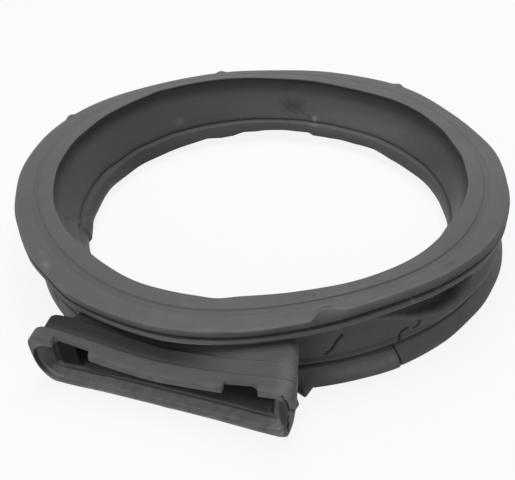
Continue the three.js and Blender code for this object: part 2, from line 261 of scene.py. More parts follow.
def fillet(corners):
    """Rounds a closed polygon of (radius, height, fillet, surface) and splits its long edges.

    Gives the points and the surface that each lies on.
    """
    path = []
    n = len(corners)
    points = [np.array(c[:2], float) for c in corners]
    for i, (_, _, size, surface) in enumerate(corners):
        here = points[i]
        back = points[i - 1] - here
        ahead = points[(i + 1) % n] - here
        reach = min(np.linalg.norm(back), np.linalg.norm(ahead)) * 0.49
        back = back / np.linalg.norm(back)
        ahead = ahead / np.linalg.norm(ahead)
        turn = math.pi - math.acos(float(np.clip(back @ ahead, -1, 1)))
        tangent = min(reach, size * math.tan(turn / 2))
        if turn < 0.02 or tangent < 0.02:
            path.append((here, surface))
            continue
        start, end = here + back * tangent, here + ahead * tangent
        pieces = max(2, int(math.degrees(turn) / 22) + 1)
        for k in range(pieces + 1):
            t = k / pieces
            path.append(((1 - t) ** 2 * start + 2 * t * (1 - t) * here + t * t * end, surface))
    dense, surfaces = [], []
    for i, (here, surface) in enumerate(path):
        there = path[(i + 1) % len(path)][0]
        pieces = max(1, int(np.linalg.norm(there - here) / SPACING[surface]))
        for k in range(pieces):
            dense.append(here + (there - here) * k / pieces)
            surfaces.append(surface)
    return np.array(dense), np.array(surfaces)


def face_height(radius):
    """Height of the sloping door face at a radius."""
    slope = (LIP_TOP - RIM_HEIGHT) / (RIM_RADIUS - LIP_RADIUS)
    return LIP_TOP - slope * (radius - LIP_RADIUS)


def ring_section():
    """Corners of the ring's section as (radius, height, fillet, surface of the edge after it)."""
    rim_bottom = RIM_HEIGHT - RIM_THICKNESS
    bead_top = rim_bottom - SLOT_GAP
    bead_bottom = bead_top - BEAD_THICKNESS
    bead_middle = bead_top - BEAD_THICKNESS / 2
    roof = bead_bottom - 1.2
    groove_in = GROOVE_RADIUS - GROOVE_HALF_WIDTH
    groove_out = GROOVE_RADIUS + GROOVE_HALF_WIDTH
    return [
        (LIP_RADIUS - 0.4, LIP_TOP, 1.3, "face"),
        (groove_in, face_height(groove_in), 0.5, "face"),
        (groove_in + 0.8, face_height(groove_in) - GROOVE_DEPTH, 0.5, "face"),
        (groove_out - 1.2, face_height(groove_out) - GROOVE_DEPTH, 0.5, "face"),
        (groove_out, face_height(groove_out), 0.5, "face"),
        (RIM_RADIUS + 0.1, RIM_HEIGHT, 1.0, "rim"),
        (RIM_RADIUS + 0.3, rim_bottom, 0.8, "slot"),
        (SLOT_RADIUS, rim_bottom, 0.3, "slot"),
        (SLOT_RADIUS, bead_top, 0.3, "slot"),
        (BEAD_RADIUS - 1.6, bead_top, 1.6, "bead"),
        (BEAD_RADIUS, bead_middle, 1.4, "bead"),
        (BEAD_RADIUS - 1.6, bead_bottom, 1.5, "recess"),
        (RECESS_RADIUS + 1.0, roof, 2.0, "waist"),
        (RECESS_RADIUS - 0.6, roof - 7, 10.0, "waist"),
        (RECESS_RADIUS + 1.2, SHOULDER_HEIGHT + 14, 14.0, "waist"),
        (RECESS_RADIUS + 5.0, SHOULDER_HEIGHT + 5, 10.0, "waist"),
        (SHOULDER_RADIUS - 1.9, SHOULDER_HEIGHT + 1.3, 1.0, "shoulder"),
        (SHOULDER_RADIUS + 0.2, SHOULDER_HEIGHT - 0.1, 0.7, "shoulder"),
        (SHOULDER_RADIUS - 0.3, SHOULDER_HEIGHT - 1.5, 0.7, "shoulder"),
        (SHOULDER_RADIUS - 2.2, SKIRT_TOP_HEIGHT + 1.2, 0.6, "shoulder"),
        (SKIRT_TOP_RADIUS, SKIRT_TOP_HEIGHT, 0.8, "skirt"),
        (FOOT_RADIUS, 2, 2.0, "skirt"),
        (FOOT_RADIUS - 0.2, 0, 0.7, "foot"),
        (FOOT_RADIUS - FOOT_WIDTH, 0, 0.8, "under"),
        (SKIRT_TOP_RADIUS - 5.2, SKIRT_TOP_HEIGHT - 1.4, 6.0, "under"),
        (RECESS_RADIUS + 1.8, SHOULDER_HEIGHT + 3.6, 8.0, "under"),
        (RECESS_RADIUS + 1.2 - WALL, SHOULDER_HEIGHT + 13.4, 10.0, "under"),
        (RECESS_RADIUS - 0.8 - WALL, roof - 7, 8.0, "under"),
        (RECESS_RADIUS - 2 - WALL, GROOVE_ROOF - 1, 1.5, "under"),
        (LIP_RADIUS + WALL, GROOVE_ROOF - 1.0, 1.5, "under"),
        (LIP_RADIUS - 5 + WALL, THROAT_HEIGHT + 15, 20.0, "under"),
        (THROAT_RADIUS + WALL, THROAT_HEIGHT - 0.6, 6.0, "under"),
        (ROLL_RADIUS + 6, ROLL_HEIGHT, 3.0, "roll"),
        (ROLL_RADIUS + 5, ROLL_BOTTOM + 0.5, 1.6, "roll"),
        (ROLL_RADIUS + 1.4, ROLL_BOTTOM, 2.0, "roll"),
        (ROLL_RADIUS, ROLL_HEIGHT, 3.0, "roll"),
        (ROLL_RADIUS + 1.0, THROAT_HEIGHT - 2.4, 1.8, "roll"),
        (THROAT_RADIUS + 1.1, THROAT_HEIGHT - 0.5, 0.5, "wall"),
        (THROAT_RADIUS + 1.0, THROAT_HEIGHT + 0.9, 0.7, "wall"),
        (THROAT_RADIUS + 3.6, THROAT_HEIGHT + 6.4, 12.0, "wall"),
        (LIP_RADIUS - 5.2, THROAT_HEIGHT + 16.4, 30.0, "wall"),
        (LIP_RADIUS, GROOVE_ROOF + 2, 20.0, "wall"),
        (LIP_RADIUS + 3, LIP_TOP - 6.2, 4.0, "lip"),
        (LIP_RADIUS + 1.4, LIP_TOP - 3.0, 1.5, "lip"),
        (LIP_RADIUS - 0.4, LIP_TOP - 1.4, 0.6, "lip"),
    ]


def sectors():
    """Angles in radians of the ring's sectors."""
    degrees = []
    here = -180.0
    while here < 180 - SECTOR / 2:
        degrees.append(here)
        fine = [size for (low, high), size in FINE_ARCS.items() if low <= here < high]
        here += min(fine, default=SECTOR)
    return np.radians(degrees)


def hills(degree, table):
    """Sum of a table's hills round the ring."""
    return sum(amount * hill(degree, centre, width) for amount, centre, width in table)


def spots(degree, across, table):
    """Sum of a table's round spots; across is the height or the radius."""
    return sum(
        amount * hill(degree, centre, width) * hill(across, middle, reach)
        for amount, centre, width, middle, reach in table
    )


def stretch(value, low, high, soft):
    """1 between two values and 0 outside them, with soft ends."""
    return smooth(value, low - soft, low + soft) * (1 - smooth(value, high - soft, high + soft))


def waves(degree, seed, low, high):
    """Random waves round the ring, about 1 high, with low to high waves in a turn."""
    random = np.random.default_rng(SEED + seed)
    total = np.zeros_like(degree)
    for k in range(low, high + 1):
        total += random.uniform(0.4, 1) * np.cos(k * np.radians(degree) + random.uniform(0, 6.3))
    return total / math.sqrt(high - low + 1)


def line_distance(u, v, line, scale=1.0):
    """Distance in millimetres from points to a line of (u, v); scale turns u into millimetres."""
    best = np.full(np.broadcast(u, v).shape, 1e6)
    for (u0, v0), (u1, v1) in zip(line, line[1:]):
        du, dv = (u1 - u0) * scale, v1 - v0
        pu, pv = (u - u0) * scale, v - v0
        t = np.clip((pu * du + pv * dv) / (du * du + dv * dv), 0, 1)
        best = np.minimum(best, np.hypot(pu - t * du, pv - t * dv))
    return best


def fold_ridge(degree):
    """Height of the fold's ridge on the waist's bulge."""
    return np.interp(degree, *zip(*FOLD_RIDGE))


class RingPoints:
    """The ring's grid points, by their places on the ideal ring."""

    def __init__(self, surface, radius, height, degree):
        self.surface = surface
        self.radius = radius
        self.height = height
        self.degree = degree

    def on(self, *surfaces):
        return np.isin(self.surface, surfaces)

    def near(self, line, scale, width, offset=0.0):
        """1 along a line of (degree, height), or at an offset to its sides, and less over a width."""
        away = line_distance(self.degree, self.height, line, scale)
        return np.exp(-(((away - offset) / width) ** 2))

    def beyond_fold(self):
        """1 on the waist above the fold's ridge."""
        ridge = fold_ridge(self.degree)
        return self.on("waist") * smooth(self.height, ridge + 0.3, ridge + 1.8)


def shape_waist(at, r):
    """Bulges and folds the waist at the right, wrinkles it and cuts its creases."""
    waist = at.on("waist")
    bulge = FOLD_BULGE * smooth(at.degree, *FOLD_START) * (1 - smooth(at.degree, *FOLD_END))
    ridge = fold_ridge(at.degree)
    fold = smooth(at.height, 14, 24) * (1 - smooth(at.height, ridge, ridge + 3))
    r = r + bulge * fold * (at.radius > OUTER_WALL)
    r = r + spots(at.degree, at.height, WAIST_HILLS) * waist
    r = r + 0.5 * waves(at.degree, 1, 6, 16) * hill(at.height, 29, 13) * waist
    for line in CREASES:
        raised = 0.55 * at.near(line, ARC_SCALE, 0.9, 1.5)
        r = r + (raised - 1.1 * at.near(line, ARC_SCALE, 0.6)) * waist
    return r


def shape_skirt(at, r):
    """Gives the skirt its seam with a step, its slit, its tab beside the duct and its bulges."""
    skirt = at.on("skirt", "foot")
    r = r - SEAM_DEPTH * at.near(SEAM, ARC_SCALE, 0.5) * skirt
    step = smooth(at.degree, -54, -45) * (1 - smooth(at.degree, -44.7, -44.2))
    r = r + SEAM_STEP * step * skirt
    r = r + 0.35 * waves(at.degree, 2, 5, 14) * skirt * smooth(14 - at.height, 0, 10)
    r = r - SLIT_DEPTH * at.near(SLIT, ARC_SCALE, 0.8) * skirt
    tab = np.clip(1 - np.abs(at.degree - TAB_DEGREE) / TAB_HALF_WIDTH, 0, 1)
    r = r + TAB_LENGTH * tab * smooth(at.radius, 195.5, 199) * (at.height < 4) * skirt
    low = smooth(13 - at.height, 0, 8) * (at.surface != "under") * (at.radius > 188)
    return r + hills(at.degree, SKIRT_HILLS) * low


def shape_face(at, r, z):
    """Pinches the rim, flattens the groove, adds flash and makes the rim, lip and bead uneven."""
    degree, radius, height = at.degree, at.radius, at.height
    top = at.on("face", "rim")
    lip = at.on("face", "lip") & (radius < 178)
    pinch = smooth(degree, -63.6, -60.8) * (1 - smooth(degree, -59.2, -55.8))
    bevel = smooth(degree, -59, -56) * (1 - smooth(degree, -5, 25))
    retreat = (PINCH_DEPTH * pinch + BEVEL_DEPTH * bevel) * smooth(radius, 188, 200)
    r = r - retreat * smooth(height, 55.2, 57.6) * top
    # The groove on the face is pressed flat towards the back.
    groove = (np.abs(radius - GROOVE_RADIUS) < GROOVE_HALF_WIDTH - 0.3) * (height > LIP_TOP - 4.5)
    flat = np.interp(degree, (-180, -165, 20, 50, 140, 180), (0.3, 0.0, 0.2, 0.7, 0.85, 0.3))
    z = z + GROOVE_DEPTH * flat * groove * at.on("face")
    for centre in FLASH_DEGREES:
        lump = hill(degree, centre, 2.0) * smooth(radius, 196, 199.8) * smooth(height, 52.8, 56.5) * top
        r = r + FLASH_OUT * lump
        z = z + FLASH_UP * lump
    r = r + 0.3 * waves(degree, 3, 9, 22) * smooth(radius, 193, 200) * (height > 47)
    z = z + 0.25 * waves(degree, 4, 5, 15) * (height > 47)
    r = r + (0.35 * waves(degree, 5, 9, 24) + hills(degree, LIP_HILLS)) * lip
    r = r + hills(degree, RIM_HILLS) * (radius > 190) * (height > 45)
    # The bead sags a little at the right and has a nick.
    sag = stretch(degree, -62, 20, 12) * at.on("bead", "recess") * (height < 52)
    z = z - BEAD_SAG * sag * (radius > 192)
    r = r - NICK_DEPTH * hill(degree, NICK_DEGREE, 0.45) * at.on("bead")
    return r, z


def shape_inside(at, r):
    """Makes the inner roll uneven, with a step at the left, and dents and wrinkles the wall."""
    degree, height = at.degree, at.height
    roll = at.on("roll", "wall") & (height < THROAT_HEIGHT + 2)
    wall = at.on("wall")
    r = r + 0.45 * waves(degree, 6, 8, 26) * roll
    r = r + ROLL_STEP * stretch(degree, -149.5, -128, 1.2) * roll * (height < THROAT_HEIGHT)
    nose = hill(height, ROLL_HEIGHT + 1, 7) * roll * (np.abs(degree) > 150)
    r = r - ROLL_NOTCH * (1 - smooth(degree, -155, -150) + smooth(degree, 166, 176)) * nose
    r = r + 1.3 * stretch(degree, -150, -139, 2) * hill(height, THROAT_HEIGHT, 6) * (roll | wall)
    r = r + 1.6 * hill(degree, WALL_DENT, 8) * hill(height, 33, 12) * wall
    r = r - 1.0 * hill(degree, WALL_LUMP, 2.4) * hill(height, 23.5, 5) * (wall | roll)
    for line in WRINKLES:
        r = r + 0.7 * at.near(line, WALL_SCALE, 1.3) * wall
    r = r + at.near(WALL_FOLD, WALL_SCALE, 1.8) * wall
    return r + 0.4 * waves(degree, 7, 4, 12) * hill(height, 36, 15) * wall


def ring_wear_and_light(at, patchy):
    """Pale worn places on edges, lumps and the skirt, painted light on the skirt left of the seam and a
    painted highlight along the fold's ridge.
    """
    degree, radius, height = at.degree, at.radius, at.height
    top, skirt = at.on("face", "rim"), at.on("skirt")
    bead_middle = RIM_HEIGHT - RIM_THICKNESS - SLOT_GAP - BEAD_THICKNESS / 2
    # Paler in patches along the rim's top edge.
    wear_and_light = 0.35 * hill(radius, RIM_RADIUS, 1.6) * hill(height, RIM_HEIGHT - 0.3, 1.4) * top * patchy
    low_bead = hill(height, bead_middle - 1.0, 1.6) * (radius > BEAD_RADIUS - 1.7)
    bead_line = 1.2 * stretch(degree, -91, -80.5, 1.5) + 0.3 * stretch(degree, -58, -35, 4)
    wear_and_light = wear_and_light + bead_line * low_bead
    wear_and_light = wear_and_light + 0.3 * hill(degree, NICK_DEGREE, 0.6) * at.on("bead")
    wear_and_light = wear_and_light + spots(degree, radius, FACE_WEAR) * top + spots(degree, height, WALL_WEAR) * at.on("wall")
    wear_and_light = wear_and_light + 0.5 * hill(degree, 88.4, 2.6) * hill(height, 20, 2.5) * at.on("roll")
    # A pale spot by the seam, and painted light over the skirt left of it.
    seam_spot_and_light = 0.2 * hill(degree, -46.0, 1.6) + 0.36 * stretch(degree, -60, -44.5, 4)
    wear_and_light = wear_and_light + seam_spot_and_light * hill(height, 7, 5) * skirt
    foot_edge = 0.3 * stretch(degree, -50, 12, 8) * patchy * hill(height, 2, 2.4)
    wear_and_light = wear_and_light + foot_edge * at.on("skirt", "foot")
    # A painted highlight along the fold's ridge.
    ridge_highlight = stretch(degree, -50, -29, 5) * hill(height, fold_ridge(degree) - 0.8, 1.4)
    return wear_and_light + 0.14 * ridge_highlight * at.on("waist")


def ring_dirt(at, patchy):
    """Brown dirt on the face, below the fold, under the roll and at the wall's right."""
    degree, radius, height = at.degree, at.radius, at.height
    top = at.on("face", "rim")
    dirt = spots(degree, radius, FACE_DIRT) * top
    dirt = dirt + 0.45 * stretch(degree, -15, 60, 10) * patchy * smooth(radius, 193, 200) * top
    below_fold = at.on("waist") - at.beyond_fold()
    dirt = dirt + 0.4 * stretch(degree, -52, 0, 8) * below_fold * hill(height, 27, 16)
    dirt = dirt + 0.7 * at.on("roll") * (1 - smooth(height, 10, 14))
    dirt = dirt + 0.4 * hill(degree, 10, 20) * at.on("wall") * (1 - smooth(height, 22, 36))
    return dirt + 0.2 * at.on("skirt") * patchy


def ring_grime_and_shade(at):
    """Black painted shade in the slot, the recess, the shoulder's corners, above the fold, under the lip and
    in the throat's crease, fainter painted shade in the wall's dent, the face's groove and on the rim's
    side, the walls and the roll at the left darker, and grime spots on the face.
    """
    degree, radius, height = at.degree, at.radius, at.height
    top, wall, roll = at.on("face", "rim"), at.on("wall"), at.on("roll")
    # Painted shade in the shoulder's corners.
    shade_at_skirt = 0.75 * hill(height, SKIRT_TOP_HEIGHT + 1.6, 1.6)
    grime_and_shade = (shade_at_skirt + 0.25 * hill(height, SHOULDER_HEIGHT + 1.2, 1.0)) * at.on("shoulder")
    # Painted shade in the slot and the recess, and on the shelf above the fold.
    grime_and_shade = grime_and_shade + 0.9 * (at.on("slot") & (radius < RIM_RADIUS - 1)) + 0.85 * at.on("recess")
    grime_and_shade = grime_and_shade + 0.72 * at.beyond_fold()
    grime_and_shade = grime_and_shade + 0.3 * roll * (1 - smooth(180 - np.abs(degree), 20, 45))
    # Painted shade under the lip, on the lip and the wall's top, and in the throat's crease.
    grime_and_shade = grime_and_shade + 0.6 * at.on("lip") + 0.65 * wall * smooth(height, 42, 55)
    grime_and_shade = grime_and_shade + 0.7 * hill(height, THROAT_HEIGHT + 0.1, 1.5) * (wall | roll) * (radius < 158)
    # Painted shade in the wall's dent and the face's groove.
    grime_and_shade = grime_and_shade + 0.35 * hill(degree, WALL_DENT, 6) * hill(height, 33, 10) * wall
    grime_and_shade = grime_and_shade + 0.1 * top * hill(radius, GROOVE_RADIUS - 1.6, 1.6)
    # Painted shade on the rim's outer side, and the walls darker all over.
    side = hill(height, RIM_HEIGHT - RIM_THICKNESS / 2 - 0.6, 3.2) * (radius > RIM_RADIUS - 1)
    return grime_and_shade + 0.3 * side + 0.12 * wall + spots(degree, radius, FACE_GRIME) * top


def ring_cracks(at):
    """Black in the creases, the seam and the slit, and fainter in the wall's wrinkles."""
    outside = at.on("waist", "skirt", "shoulder")
    lines = sum(at.near(line, ARC_SCALE, 0.62) for line in CREASES + (SEAM, SLIT))
    faint = sum(at.near(line, WALL_SCALE, 1.1) for line in WRINKLES + (WALL_FOLD,))
    return 1.8 * lines * outside + 0.3 * faint * at.on("wall")


def ring_marks(at):
    """Amounts of wear and painted light, dirt, grime and painted shade, and crack colour at each point of
    the ring.
    """
    patchy = 0.5 + 0.35 * waves(at.degree, 8, 14, 60)
    amounts = ring_wear_and_light(at, patchy), ring_dirt(at, patchy), ring_grime_and_shade(at), ring_cracks(at)
    return np.clip(np.stack(amounts, -1), 0, 1)


def ring_mesh():
    """Places, marks and flow of the ring, swept in one closed grid."""
    section, surface = fillet(ring_section())
    angle = sectors()[:, None]
    radius, height = section[None, :, 0], section[None, :, 1]
    angle, radius, height = np.broadcast_arrays(angle, radius, height)
    degree = np.degrees(angle)
    surface = np.broadcast_to(surface[None, :], degree.shape)
    r, z = bent(radius, height, angle)
    at = RingPoints(surface, radius, height, degree)
    r, z = shape_face(at, shape_skirt(at, shape_waist(at, r)), z)
    r = shape_inside(at, r)
    z = np.clip(z, 0, PART_TOP)
    places = in_frame(r * np.cos(angle), r * np.sin(angle), z)
    marks = ring_marks(at)
    flow = np.stack([degree / 14, radius * 0.9, height * 0.9], -1)
    return places, marks, flow


def spline_loop(corners):
    """Points on a smooth closed curve through 13 corners, dense along the top where the notches are."""
    corners = np.array(corners, float)
    n = len(corners)
    points = []
    for i in range(n):
        start, end = corners[i], corners[(i + 1) % n]
        leave = TENSION * (end - corners[i - 1])
        arrive = TENSION * (corners[(i + 2) % n] - start)
        for t in np.arange(OUTLINE_COUNTS[i]) / OUTLINE_COUNTS[i]:
            points.append(
                (2 * t**3 - 3 * t**2 + 1) * start
                + (t**3 - 2 * t**2 + t) * leave
                + (3 * t**2 - 2 * t**3) * end
                + (t**3 - t**2) * arrive
            )
    points = np.array(points)
    points[:, 1] = np.maximum(points[:, 1], 0)
    return points


def skin(left, right, top, sag, bottom, left_top, slant, corner=1.0):
    """Corners of a duct outline seen from outside the mouth, as (x, height), anticlockwise.

    corner scales the cut corners at the bottom.
    """
    wide = right - left
    return [
        (left + 12 * corner, bottom),
        (left + 0.3 * wide, bottom + 1),
        (left + 0.7 * wide, bottom + 1),
        (right - 9 * corner, bottom),
        (right - 2.4 * corner, bottom + 8 * corner),
        (right, top - 7),
        (right - 7, top),
        (left + 0.74 * wide, top - 0.6 * sag),
        (left + 0.5 * wide, top - sag),
        (left + 0.29 * wide, top - 0.68 * sag),
        (left_top, top - 1),
        (left, top - slant),
        (left + corner, bottom + 11 * corner),
    ]


def wall_middle(height):
    """Radius of the middle of the inner wall at a height."""
    heights = (10, THROAT_HEIGHT, THROAT_HEIGHT + 6.4, THROAT_HEIGHT + 16.4, GROOVE_ROOF + 2)
    radii = (ROLL_RADIUS, THROAT_RADIUS, THROAT_RADIUS + 4.2, LIP_RADIUS - 5, LIP_RADIUS)
    return np.interp(height, heights, radii) + WALL / 2


def station(out, outline):
    """A loop of points (x, out, height); out may vary along the loop."""
    out = np.broadcast_to(np.asarray(out, float), outline[:, 0].shape)
    return np.stack([outline[:, 0], out, outline[:, 1]], -1)


def at_wall(outline):
    """A loop of points where an outline meets the middle of the inner wall."""
    radius = wall_middle(outline[:, 1])
    return station(np.sqrt(np.maximum(radius**2 - outline[:, 0] ** 2, 1)), outline)


def duct_outlines():
    """The duct's outlines by name: down its outside, round the mouth's edge and up the passage."""
    frame_top = MOUTH_SIDE_HEIGHT + 5.2
    collar_top = frame_top + 5.6
    bead_bottom = RIM_HEIGHT - RIM_THICKNESS - SLOT_GAP - BEAD_THICKNESS
    neck_roof = bead_bottom - 1.2 - 2.4
    left, right, sag = MOUTH_LEFT, MOUTH_RIGHT, MOUTH_SAG
    deep_left, deep_right = left + 11, right - 13
    deep_top = collar_top - DUCT_WALL - 1.6
    outlines = {
        "neck_back": skin(left + 29, right - 18, neck_roof + 1, 0.5, THROAT_HEIGHT - 1, left + 34, 7),
        "neck_middle": skin(left + 25, right - 6, neck_roof, 1, 6, left + 31, 8),
        "neck_front": skin(left + 24, right - 4, collar_top - STEP, sag - 1, 2.6, left + 30, 9),
        "collar_back": skin(left + 9, right - 2 * STEP, collar_top, sag - 1, STEP + 0.4, left + 18, 9),
        "collar_front": skin(left + 6, right - STEP, frame_top - STEP, sag - 2, STEP, left + 14, 9),
        "frame_back": skin(left + 1.5, right, frame_top + 0.6, sag - 1.4, 0, left + 11.5, 8.5),
        "front": skin(left, right, MOUTH_SIDE_HEIGHT + 1.0, sag + 1.0, 0, left + 11.5, 6.5),
        "lip": skin(
            left + RIM_EDGE, right - RIM_EDGE - 1.5, MOUTH_SIDE_HEIGHT - 5.5, sag - 1, 0.9,
            left + 14, 8,
        ),
        "socket_front": skin(
            left + RIM_EDGE + 1, right - RIM_EDGE - 2.4, MOUTH_SIDE_HEIGHT + 2.4 - DUCT_WALL, sag,
            2.3, left + 15, 8,
        ),
        "socket_back": skin(deep_left, deep_right, deep_top, sag, SOCKET_FLOOR, left + 22, 8, 0.45),
        "ledge": skin(
            deep_left + 4.5, deep_right - 3, deep_top - 2, sag, SOCKET_FLOOR + 0.8, left + 26, 8, 0.45
        ),
        "passage_front": skin(
            left + 27, right - 17, collar_top - 8, sag - 3, SOCKET_FLOOR + 1.2, left + 33, 8, 0.5
        ),
        "passage_back": skin(left + 36, right - 26, neck_roof - 2.6, 0.5, THROAT_HEIGHT + 2, left + 40, 8),
    }
    # The front's bottom left corner is cut off farther up.
    outlines["front"][-1] = (left + 2.6, 12.0)
    outlines["front"][0] = (left + 14.5, 0.0)
    return {name: spline_loop(corners) for name, corners in outlines.items()}


def mouth_edge(loops):
    """The mouth's front edge as (out, edge, inner edge, back of the inner edge), with its notches."""
    top = np.zeros(len(loops["front"]))
    start = sum(OUTLINE_COUNTS[:6])
    top[start : start + sum(OUTLINE_COUNTS[6:10])] = 1
    cut = top * notch_mask(loops["front"][:, 0])
    # In a notch the hanging strip is gone, so the front edge falls back onto the frame's top.
    front_out = MOUTH_OUT - (VALANCE + 0.2) * cut
    back_share = (VALANCE + 0.2) * cut / FRAME_DEPTH
    edge = loops["front"] + (loops["frame_back"] - loops["front"]) * back_share[:, None]
    # Along the top each point of the lip lies straight under its point of the edge, up to the ends.
    lip_edge = loops["lip"].copy()
    span = top > 0
    upper = lip_edge[span]
    order = np.argsort(upper[:, 0])
    ends = (edge[span, 0].min(), NOTCH_LEFT[0] - 1, NOTCH_RIGHT[1] + 1, edge[span, 0].max())
    lip_ends = (upper[:, 0].min(), NOTCH_LEFT[0] - 1, NOTCH_RIGHT[1] + 1, upper[:, 0].max())
    along = np.interp(edge[:, 0], ends, lip_ends)
    height = np.interp(along, upper[order, 0], upper[order, 1])
    height = (1 - cut) * height + cut * (edge[:, 1] - DUCT_WALL * 0.8)
    lip_edge[span] = np.stack([along, height], -1)[span]
    lip_back = lip_edge.copy()
    lip_back[:, 1] += 1.2 * (1 - smooth(lip_back[:, 1], 3, 8))
    return front_out, edge, lip_edge, lip_back


def duct_stations():
    """Loops from the inner end over the outside, round the mouth and back down the passage.

    Each entry is (loop, fillet, pieces of the span after it).
    """
    frame_out = MOUTH_OUT - FRAME_DEPTH
    collar_out = frame_out - COLLAR_DEPTH
    loops = duct_outlines()
    front_out, edge, lip_edge, lip_back = mouth_edge(loops)
    return [
        (at_wall(loops["neck_back"]), 0, 6),
        (station(collar_out - 16, loops["neck_middle"]), 5, 6),
        (station(collar_out - 0.5, loops["neck_front"]), 0.7, 1),
        (station(collar_out + 0.5, loops["collar_back"]), 1.0, 3),
        (station(frame_out - 0.5, loops["collar_front"]), 0.6, 1),
        (station(frame_out + 0.5, loops["frame_back"]), 1.2, 3),
        (station(front_out, edge), 1.3, 14),
        (station(front_out, lip_edge), 0.9, 2),
        (station(MOUTH_OUT - VALANCE - 0.3, lip_back), 0.8, 2),
        (station(MOUTH_OUT - VALANCE - 0.5, loops["socket_front"]), 0.8, 5),
        (station(socket_out(loops["socket_back"]), loops["socket_back"]), 0.9, 2),
        (station(socket_out(loops["ledge"]) - 0.1, loops["ledge"]), 0.5, 2),
        (station(socket_out(loops["passage_front"]) - 0.6, loops["passage_front"]), 1.0, 8),
        (at_wall(loops["passage_back"]), 0, 1),
    ]


def socket_out(loop):
    """How far out the socket's back lies, along the floor and above it."""
    return SOCKET_OUT + SOCKET_FLOOR_OUT * (1 - smooth(loop[:, 1], 6, 13))


def notch_mask(x):
    """1 where the mouth's hanging front strip is cut away, with slightly sloping ends."""
    mask = np.zeros_like(x)
    for low, high in (NOTCH_LEFT, NOTCH_RIGHT):
        mask = np.maximum(mask, smooth(x, low - 0.5, low + 0.5) * (1 - smooth(x, high - 0.5, high + 0.5)))
    return mask


def duct_shape(grid):
    """Adds the tears at the mouth's right end, a lump and small waves, and gives the tears' depth."""
    x, out, h = grid[..., 0], grid[..., 1], grid[..., 2]
    front = smooth(out, MOUTH_OUT - 1.4, MOUTH_OUT - 0.6)
    deep = np.zeros_like(x)
    for line in TEARS:
        ragged = 0.25 * np.sin(2.9 * h + 1.7 * x) + 0.2 * np.sin(5.3 * h - 2.1 * x)
        away = line_distance(x + ragged, h, line)
        deep = deep + np.exp(-((away / 0.6) ** 2))
    out = out - 1.3 * np.clip(deep, 0, 1) * front
    out = out - 0.35 * np.sin(0.7 * x + 1) * np.sin(0.9 * h) * front * smooth(x, *TORN_END)
    # A lump on the right side and flash under the front edge
    x = x + 1.5 * hill(h, 27, 4.5) * hill(out, 214.5, 3.5) * smooth(x, 84, 88)
    out = out + 0.2 * hill(x, 6, 6) * front * (h < 5)
    h = h + 0.25 * np.sin(0.11 * x + 0.6) * smooth(h, 20, 30) * smooth(out, 200, 206)
    return np.stack([x, out, np.maximum(h, 0)], -1), deep * front


def duct_marks(grid, steps, deep):
    """Amounts of wear and painted light, dirt, painted shade, and crack colour for the tears with painted
    shade behind the left notch, at each point of the duct, by station.
    """
    x, out, h = grid[..., 0], grid[..., 1], grid[..., 2]
    inside = (steps >= INSIDE_FROM).astype(float)
    ledge = (steps == LEDGE_STATION).astype(float)
    deeper = (steps > LEDGE_STATION).astype(float)
    outside = 1 - inside
    front = smooth(out, MOUTH_OUT - 1.6, MOUTH_OUT - 0.5)
    patchy = 0.5 + 0.5 * np.sin(0.35 * x + 2 * np.sin(0.13 * x)) * np.cos(0.5 * h)
    floor = inside * (1 - smooth(h, 5.8, 8))
    # Patchy pale on the front, a painted highlight on the right top corner and painted light at the left end
    # by the mouth.
    wear_and_light = 0.25 * front * patchy + 0.25 * hill(x, 83, 9) * smooth(h, 30, 40) * outside
    wear_and_light = wear_and_light + 0.25 * (1 - smooth(x, -86, -76)) * patchy * smooth(out, 210, 216)
    wear_and_light = wear_and_light + 0.35 * hill(x, 76, 5) * (1 - smooth(h, 5, 9)) * smooth(out, 214, 217)
    wear_and_light = wear_and_light + 0.3 * (1 - smooth(h, 2, 5)) * front
    corner = hill(x, MOUTH_RIGHT - 14, 5) * hill(h, 7, 7) * inside * (1 - deeper)
    # The socket's floor is painted pale as light, faintly deeper in, and the ledge's stripe is painted
    # light.
    wear_and_light = wear_and_light + 0.85 * floor * (1 - ledge) * (1 - deeper) + 0.12 * floor * deeper
    wear_and_light = wear_and_light + 0.3 * ledge * (1 - smooth(x, -78, -70)) + 0.45 * corner
    dirt = 0.25 * patchy * outside + 0.35 * front * smooth(x, 78, 84)
    # Behind the left notch the inside is painted black as shade, and the duct's inner sides, its roof and
    # its deep inside are painted darker as shade.
    left_side = 1 - smooth(x, MOUTH_LEFT + 10, MOUTH_LEFT + 13)
    side = np.maximum(0.2 * left_side, smooth(x, *TORN_END))
    notch_shadow = (ledge + deeper) * (1 - smooth(x, -56, -46)) * smooth(h, 6, 9)
    deep = np.maximum(deep, 0.9 * notch_shadow)
    grime_and_shade = 0.45 * inside * side * (1 - ledge) * (1 - deeper) * smooth(h, 4, 9)
    grime_and_shade = grime_and_shade + deeper * (0.92 - 0.62 * floor) + 0.3 * ledge * floor
    roof = inside * (1 - side) * smooth(h, 12, 20) * (1 - smooth(out, 209, 213)) * (1 - ledge)
    # Painted shadow on the neck and the collar under the ring's rim.
    shadow_under_rim = outside * (1 - smooth(out, 209, 216)) * smooth(h, 25, 36) * (1 - smooth(x, 0, 55))
    grime_and_shade = grime_and_shade + 0.9 * roof + 0.85 * shadow_under_rim
    # Painted shade in the corners of the frame's and the collar's steps.
    step = MOUTH_OUT - FRAME_DEPTH
    for place in (step, step - COLLAR_DEPTH):
        grime_and_shade = grime_and_shade + 0.35 * hill(out, place - 0.2, 0.8) * outside
    return np.clip(np.stack([wear_and_light, dirt, grime_and_shade, deep], -1), 0, 1)


